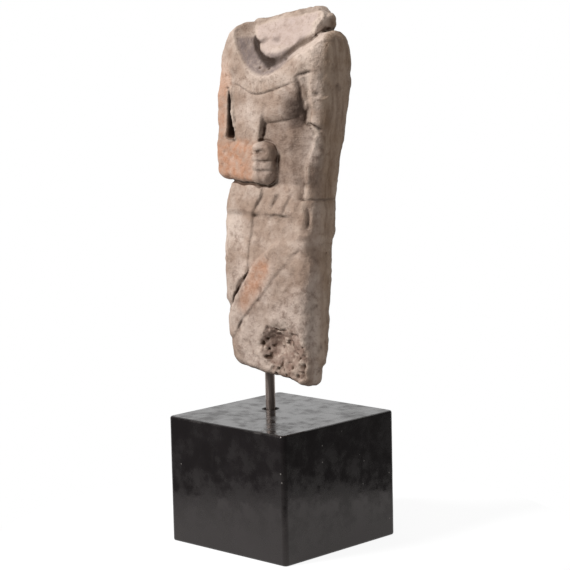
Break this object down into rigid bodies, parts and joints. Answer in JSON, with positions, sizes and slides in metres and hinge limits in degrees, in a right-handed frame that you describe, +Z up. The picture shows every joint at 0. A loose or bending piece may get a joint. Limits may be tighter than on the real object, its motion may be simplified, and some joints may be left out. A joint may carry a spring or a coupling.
{
  "type": "ruler statuette",
  "caption": "Headless carved stone statuette of a standing ruler with collar and kilt, held by a steel rod over a square black stone block.",
  "frame": {"origin": "middle of the block's flat underside", "axes": "+Z up; the figure faces -Y and its own left hand is at +X"},
  "size_m": [0.065, 0.065, 0.2161],
  "materials": {
    "pale_stone": "weathered, matt, with orange and grey patina",
    "rod_steel": "satin",
    "black_stone": "polished, with fine pale flecks"
  },
  "bodies": {
    "root": {"stone_statuette": "pale_stone", "steel_rod": "rod_steel", "stone_block": "black_stone"}
  },
  "joints": []
}
